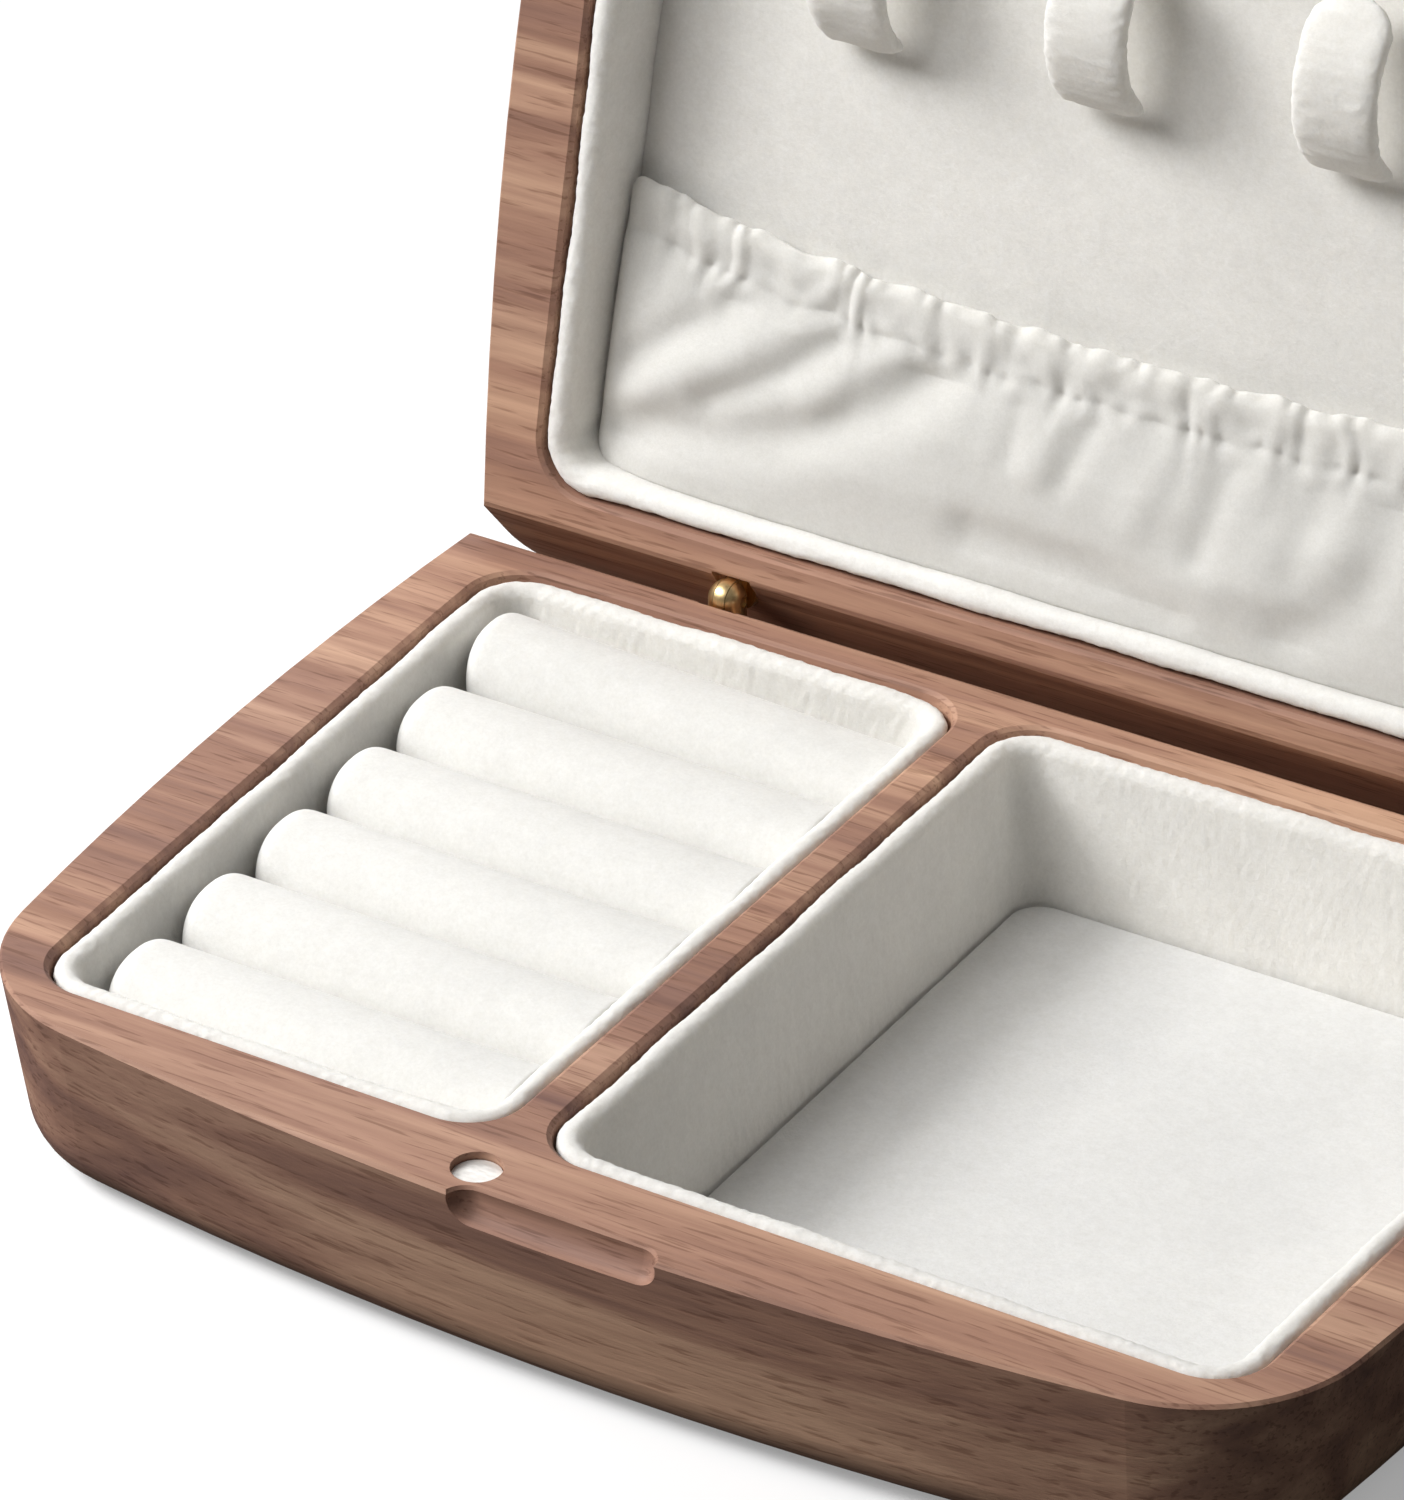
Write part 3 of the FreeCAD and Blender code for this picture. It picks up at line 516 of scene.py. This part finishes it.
for i in range(1, rolls["count"] + 1):
    node = f"ring_roll_{i}"
    low, high = (np.array(corner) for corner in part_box(node))
    leftRise, rightRise = 0.0, 0.0
    if i == rolls["count"]:
        # the last roll is squeezed up against the back wall, most at its left end
        leftRise, rightRise = rolls["lastRise"], -rolls["lastDip"]
        low[1] += rolls["lastBack"] * mm
        high[1] += rolls["lastBack"] * mm
    points = rollShell(low, high, leftRise, rightRise)
    middle = (low + high) / 2
    points = middle + (points - middle) * np.array(stuffing["startShare"])
    roll = makeTube(f"ringRoll{i}", points)
    swell(roll)
    finer = roll.modifiers.new("Finer", "SUBSURF")
    finer.levels = finer.render_levels = 1
    settle(roll, velvets["roll"], "base", "velvet", node)
print("ring rolls made")

# Necklace straps: a flat covered strap bent to an arc, rooted in the panel, its tip rounded
strap = dict(count=4, pitch=34.0, shift=3.0, width=11.2, thick=2.6, radius=13.3, rise=87.1, sink=4.33,
             rootAngle=151.0, tipAngle=38.7, along=90, around=40, tipLength=5.0, endLength=1.3,
             sidePower=0.35, facePower=0.75, leastSquare=0.0004, leastOut=0.1,
             pileSize=1.4, pileHeight=0.06, swaySize=7.0, swayHeight=0.07, pileSeed=31, swaySeed=41)


def strapShell(x):
    # a rounded flat section swept along the arc; width shrinks as a half circle at the tip
    angle = np.radians(np.linspace(strap["rootAngle"], strap["tipAngle"], strap["along"]))
    left = (angle - angle[-1]) * strap["radius"]
    ends = np.minimum(left, left[0] - left)

    def halfCircle(distance, length):
        share = np.clip(1 - distance / length, 0, 1)
        return np.sqrt(np.maximum(1 - share ** 2, strap["leastSquare"]))

    wide = halfCircle(left, strap["tipLength"]) * strap["width"] / 2
    thick = halfCircle(ends, strap["endLength"]) * strap["thick"] / 2
    turn = np.linspace(0, 2 * math.pi, strap["around"], endpoint=False)
    across = superWave(np.cos(turn), strap["sidePower"])
    outward = superWave(np.sin(turn), strap["facePower"])
    reach = strap["radius"] + thick[:, None] * outward
    rise = strap["rise"] + reach * np.cos(angle)[:, None]
    out = np.maximum(reach * np.sin(angle)[:, None] - strap["sink"], strap["leastOut"])
    return onLid(x + wide[:, None] * across, hingeY - rise, panelDepth - out)


for i in range(strap["count"]):
    x = strap["shift"] + (i - (strap["count"] - 1) / 2) * strap["pitch"]
    hook = makeTube(f"necklaceStrap{i + 1}", strapShell(x))
    ruffleSurface(hook, strap["pileSize"], strap["pileHeight"], strap["pileSeed"] + i)
    ruffleSurface(hook, strap["swaySize"], strap["swayHeight"], strap["swaySeed"] + i)
    settle(hook, velvets["lid"], "lid", "velvet", f"necklace_hook_{i + 1}")
print("necklace straps made")

# Gathered pocket: a cloth front with a frilled casing, belly and slanting folds
gather = dict(foot=11.7, top=43.3, rise=5.0, endRise=2.2, endRisePower=8, endDrop=2.0, endDropPower=90,
              halfWidth=79.0, wallGap=0.5, belly=8.0, fullPower=8, least=2.4, leastRamp=2.2, casing=6.6,
              thick=0.7, columns=640, rows=150, leastOut=0.45, rimGap=0.9, endCalm=1.3)
# section of the cloth from its foot to its lip: shares of the climb and of the belly
clothSection = dict(climb=[0, 0, 0, 0.07, 0.28, 0.50, 0.72, 0.86, 1.0],
                    out=[0.02, 0.40, 0.96, 1.0, 1.0, 0.84, 0.54, 0.36, 0.35], height=32, samples=600, ease=25)
# small puckers: pitch or size, height, and how far below the casing they fade
pucker = dict(lipSway=0.35, lipSwaySize=11.0, warp=1.1, warpSize=15.0, warpLump=0.8, warpLumpSize=9.0,
              finePitch=3.4, fineHeight=0.12, fineFade=2.2, livelySize=8.0, livelyMost=1.1,
              lumpSize=4.5, lumpHeight=0.11, widePitch=8.3, wideHeight=0.2, wideFade=4.5, wideSlant=0.25,
              wideWarp=1.7, widePhase=1.0, tube=0.4, stitch=0.26, stitchFrill=0.12, stitchWidth=0.9, lip=1.5,
              lipTuck=0.7, lipFrill=0.12, lipWave=0.18)
clothSeeds = dict(lip=3, warp=5, wander=7, uneven=9, lump=14, warpLump=15, lively=16)
# broad hanging folds that fall to the left
hanging = dict(pitch=52.0, slant=1.8, depth=0.3, wander=9.0, wanderSize=90.0, second=0.35, secondPhase=0.9,
               evenShare=0.75, unevenShare=0.45, unevenSize=60.0, startBelow=8, startClimb=0.25,
               foldBelow=3, foldClimb=0.12)
# single folds of the hanging cloth: places across and up the lid, then width and height
gatherFolds = [
    ([(-60, 38), (-75.5, 26)], 2.4, -0.75), ([(-50, 38), (-62, 29), (-75, 20)], 2.6, 0.7),
    ([(-44, 38), (-53, 29.5), (-62, 24)], 2.2, -0.7), ([(-37, 38), (-47.5, 27.5)], 2.6, 0.6),
    ([(-28, 38), (-39, 28.5), (-52, 21.5), (-75, 17)], 3.8, -1.7),
    ([(-23, 17), (-8, 16), (4, 13)], 3.4, -1.1), ([(-20, 37), (-20, 28)], 1.9, -0.5),
    ([(-14, 37), (-16, 27)], 2.2, 0.4), ([(-9, 37), (-12, 27)], 1.8, -0.45),
    ([(2, 37), (-2, 24)], 2.6, 0.4), ([(10, 37), (7, 22)], 2.0, -0.5), ([(22, 38), (20, 24)], 2.6, -0.5),
    ([(33, 38), (29, 22), (20, 15)], 3.6, -0.9), ([(48, 39), (42, 24)], 3.0, -0.7),
    ([(58, 39), (70, 24)], 3.2, -0.9), ([(66, 40), (76, 30)], 2.4, 0.6)]


def foldHeight(x, rise):
    # each fold is a soft ridge or valley along its line of places
    total = np.zeros(np.broadcast_shapes(x.shape, rise.shape))
    for places, width, height in gatherFolds:
        nearest = np.full(total.shape, np.inf)
        for (x0, r0), (x1, r1) in zip(places, places[1:]):
            dx, dr = x1 - x0, r1 - r0
            along = np.clip(((x - x0) * dx + (rise - r0) * dr) / (dx ** 2 + dr ** 2), 0, 1)
            nearest = np.minimum(nearest, np.hypot(x - x0 - along * dx, rise - r0 - along * dr))
        total += height * np.exp(-(nearest / width) ** 2)
    return total


def clothLine():
    # climb and distance off the panel at even steps along the pocket's section, corners eased
    climb, out = np.array(clothSection["climb"]), np.array(clothSection["out"])
    samples, window = clothSection["samples"], clothSection["ease"]
    length = np.hypot(np.diff(climb) * clothSection["height"], np.diff(out) * gather["belly"])
    along = np.concatenate([[0], np.cumsum(length)])
    fine = np.linspace(0, along[-1], samples)
    steps = np.linspace(0, samples - 1, gather["rows"])
    lines = []
    for line in (climb, out):
        padded = np.pad(np.interp(fine, along, line), window // 2, "reflect", reflect_type="odd")
        eased = np.convolve(padded, np.ones(window) / window, "valid")
        lines.append(np.interp(steps, np.arange(samples), eased)[:, None])
    return lines


def casingBump(x, below):
    # fine puckers in the casing, short folds that widen and fade below its stitch line, a frilled lip
    p, seeds, casing = pucker, clothSeeds, gather["casing"]
    flat = np.stack(np.broadcast_arrays(x, below, 0.0), -1) * mm
    warp = p["warp"] * smoothNoise(x, p["warpSize"], seeds["warp"])
    warp = warp + p["warpLump"] * fuzz(flat, p["warpLumpSize"], seeds["warpLump"])
    fine = np.cos(2 * math.pi * (x + warp) / p["finePitch"])
    lead = x + p["wideWarp"] * warp + p["wideSlant"] * below
    wide = np.cos(2 * math.pi * lead / p["widePitch"] + p["widePhase"])
    under = np.maximum(below - casing, 0)
    lively = np.clip(0.5 + 0.5 * fuzz(flat, p["livelySize"], seeds["lively"]), 0, p["livelyMost"])
    lumps = fuzz(flat, p["lumpSize"], seeds["lump"])
    small = p["fineHeight"] * fine * lively + p["lumpHeight"] * lumps
    bump = np.exp(-under / p["fineFade"]) * small + np.exp(-under / p["wideFade"]) * p["wideHeight"] * wide
    # the casing is a flat tube above a pulled-in stitch line
    inside = np.clip(1 - below / casing, 0, 1)
    stitch = np.exp(-((below - casing) / p["stitchWidth"]) ** 2)
    bump += p["tube"] * np.sin(math.pi * inside) - (p["stitch"] - p["stitchFrill"] * fine) * stitch
    lip = np.clip(1 - below / p["lip"], 0, 1)
    bump += -p["lipTuck"] * lip ** 2 + p["lipFrill"] * lip * fine
    return bump, p["lipWave"] * lip * fine


def hangingBump(x, rise, below, climb):
    # a few broad folds that fall to the left from the casing, and the single folds
    h = hanging
    under = np.maximum(below - gather["casing"], 0)
    lead = x + h["slant"] * below
    turn = (lead + h["wander"] * smoothNoise(lead, h["wanderSize"], clothSeeds["wander"])) / h["pitch"]
    fold = np.cos(2 * math.pi * turn) + h["second"] * np.cos(4 * math.pi * turn + h["secondPhase"])
    uneven = h["evenShare"] + h["unevenShare"] * smoothNoise(lead, h["unevenSize"], clothSeeds["uneven"])
    broad = np.clip(under / h["startBelow"], 0, 1) * np.clip(climb / h["startClimb"], 0, 1)
    single = np.clip(under / h["foldBelow"], 0, 1) * np.clip(climb / h["foldClimb"], 0, 1)
    return broad * h["depth"] * fold * uneven + single * foldHeight(x, rise)


def pocketSurface():
    # the cloth's points, from place across, rise up the lid and distance off the panel
    g = gather
    climb, share = clothLine()
    s = np.linspace(-1, 1, g["columns"])[None, :]
    x = s * g["halfWidth"]
    ends = g["endRise"] * s ** g["endRisePower"] - g["endDrop"] * s ** g["endDropPower"]
    sway = pucker["lipSway"] * smoothNoise(x, pucker["lipSwaySize"], clothSeeds["lip"])
    top = g["top"] + g["rise"] * s ** 2 + ends + sway
    full = np.sqrt(1 - np.abs(s) ** g["fullPower"])
    least = g["least"] * np.minimum(1, share * g["leastRamp"])
    out = full * share * g["belly"] + (1 - full) * least
    rise = g["foot"] + (top - g["foot"]) * climb - wallSlope * out * (1 - climb) ** 2
    below = top - rise
    bump, frill = casingBump(x, below)
    bump += hangingBump(x, rise, below, climb)
    rise = rise + frill
    out = np.clip(out + bump * np.minimum(1, full * g["endCalm"]), g["leastOut"], panelDepth - g["rimGap"])
    wallX = flaredSide(hingeY - rise) - innerFace - (panelDepth - out) * wallSlope - g["wallGap"]
    return onLid(s * wallX, hingeY - rise, panelDepth - out)


points = pocketSurface()
pocketPiece = makePiece("gatheredPocket", points, gridFaces(*points.shape[:2]))
wall = pocketPiece.modifiers.new("Wall", "SOLIDIFY")
wall.thickness = gather["thick"] * mm
wall.offset = 0
settle(pocketPiece, pocketCloth, "lid", "pocket_cloth", "lid_pocket")
print("gathered pocket made")

# Elastic inside the pocket's casing: a flat ribbed band
elastic = dict(halfWidth=77.5, steps=300, drop=1.4, height=4.2, thick=0.7, middleOut=1.45, endOut=1.3,
               endShare=0.9, ribPitch=2.6, ribHeight=0.1)


def elasticShell():
    e = elastic
    s = np.linspace(-1, 1, e["steps"])
    x = s * e["halfWidth"]
    top = gather["top"] + gather["rise"] * s ** 2 - e["drop"]
    full = np.sqrt(1 - e["endShare"] * np.abs(s) ** gather["fullPower"])
    ribs = e["ribHeight"] * np.cos(2 * math.pi * x / e["ribPitch"])
    out = full * e["middleOut"] + (1 - full) * e["endOut"] + ribs
    section = [(0, 0), (-e["height"], 0), (-e["height"], -e["thick"]), (0, -e["thick"])]
    return np.stack([onLid(x, hingeY - (top + up), panelDepth - (out + off)) for up, off in section], 1)


band = makeTube("pocketElasticBand", elasticShell())
settle(band, elasticBand, "lid", "elastic", "pocket_elastic")
print("elastic made")

# Stage: pale floor, soft studio lamps and a camera at the photograph's viewing angle
studio = dict(azimuth=31.27, elevation=30.956, distance=0.9808, lens=189.54, sensor=36.0,
              target=(-39.58, 33.63, 26.0), floorSize=6.0, floorRough=0.9,
              floorGlow=0.30, floorNear=0.17, floorFar=0.45,
              floorDim=(0.08, 0.08, 0.08), floorPale=(0.95, 0.95, 0.95),
              skyFrom=0.1, skyTo=0.8, skyLow=0.015, skyHigh=0.21)
# name, place and aim in metres, size and power
lamps = [("keyLamp", (-0.88, -0.36, 0.78), (0, 0.05, 0.04), 0.5, 12.7),
         ("frontLamp", (-0.56, -0.66, 1.00), (0, 0.05, 0.06), 0.7, 9.0),
         ("backLamp", (-0.60, 0.98, 0.72), (-0.05, 0, 0.03), 0.7, 4.0)]


def mapRange(tree, fromMin, fromMax, toMin, toMax):
    return addNode(tree, "ShaderNodeMapRange", **{"From Min": fromMin, "From Max": fromMax,
                                                  "To Min": toMin, "To Max": toMax})


def makeFloor():
    # lit near the object, so that its shadow shows, and plain white to the camera further away
    mesh = bpy.data.meshes.new("floor")
    s = studio["floorSize"]
    mesh.from_pydata([(-s, -s, 0), (s, -s, 0), (s, s, 0), (-s, s, 0)], [], [(0, 1, 2, 3)])
    floor = bpy.data.objects.new("floor", mesh)
    bpy.context.scene.collection.objects.link(floor)
    material, tree, shader = newMaterial("paleFloor")
    setInputs(shader, Roughness=studio["floorRough"])
    glow = addNode(tree, "ShaderNodeEmission", Color=(1, 1, 1, 1), Strength=1.0)
    path = addNode(tree, "ShaderNodeLightPath")
    seen = addNode(tree, "ShaderNodeMath", operation="MULTIPLY")
    place = addNode(tree, "ShaderNodeTexCoord")
    away = addNode(tree, "ShaderNodeVectorMath", operation="LENGTH")
    fade = mapRange(tree, studio["floorNear"], studio["floorFar"], studio["floorGlow"], 1.0)
    tone = mixColour(tree, "MIX", path.outputs["Is Camera Ray"], studio["floorDim"], studio["floorPale"])
    mix = addNode(tree, "ShaderNodeMixShader")
    for source, target in [
            (place.outputs["Object"], away.inputs[0]), (away.outputs["Value"], fade.inputs["Value"]),
            (path.outputs["Is Camera Ray"], seen.inputs[0]), (fade.outputs[0], seen.inputs[1]),
            (tone, shader.inputs["Base Color"]), (seen.outputs[0], mix.inputs["Fac"]),
            (shader.outputs[0], mix.inputs[1]), (glow.outputs[0], mix.inputs[2]),
            (mix.outputs[0], tree.nodes["Material Output"].inputs["Surface"])]:
        tree.links.new(source, target)
    mesh.materials.append(material)


def makeWorld():
    # white to the camera; to everything else a soft sky, darker near the horizon
    world = bpy.data.worlds.new("studio")
    bpy.context.scene.world = world
    world.use_nodes = True
    tree = world.node_tree
    back = tree.nodes["Background"]
    back.inputs["Color"].default_value = (1, 1, 1, 1)
    place = addNode(tree, "ShaderNodeTexCoord")
    parts = addNode(tree, "ShaderNodeSeparateXYZ")
    sky = mapRange(tree, studio["skyFrom"], studio["skyTo"], studio["skyLow"], studio["skyHigh"])
    path = addNode(tree, "ShaderNodeLightPath")
    most = addNode(tree, "ShaderNodeMath", operation="MAXIMUM")
    for source, target in [
            (place.outputs["Generated"], parts.inputs[0]), (parts.outputs["Z"], sky.inputs["Value"]),
            (path.outputs["Is Camera Ray"], most.inputs[0]), (sky.outputs[0], most.inputs[1]),
            (most.outputs[0], back.inputs["Strength"])]:
        tree.links.new(source, target)


def addLamp(name, place, aim, size, power):
    data = bpy.data.lights.new(name, "AREA")
    data.shape = "DISK"
    data.size = size
    data.energy = power
    lamp = bpy.data.objects.new(name, data)
    lamp.location = place
    lamp.rotation_euler = (Vector(aim) - Vector(place)).to_track_quat("-Z", "Y").to_euler()
    bpy.context.scene.collection.objects.link(lamp)


def makeCamera():
    a, e = math.radians(studio["azimuth"]), math.radians(studio["elevation"])
    back = Vector((math.sin(a) * math.cos(e), -math.cos(a) * math.cos(e), math.sin(e)))
    data = bpy.data.cameras.new("camera")
    data.lens = studio["lens"]
    data.sensor_width = studio["sensor"]
    data.sensor_fit = "AUTO"
    camera = bpy.data.objects.new("camera", data)
    camera.location = Vector(studio["target"]) * mm + back * studio["distance"]
    camera.rotation_euler = (-back).to_track_quat("-Z", "Y").to_euler()
    bpy.context.scene.collection.objects.link(camera)
    bpy.context.scene.camera = camera


makeFloor()
makeWorld()
for lamp in lamps:
    addLamp(*lamp)
makeCamera()
bpy.context.scene.view_settings.view_transform = "Standard"
print("scene ready")
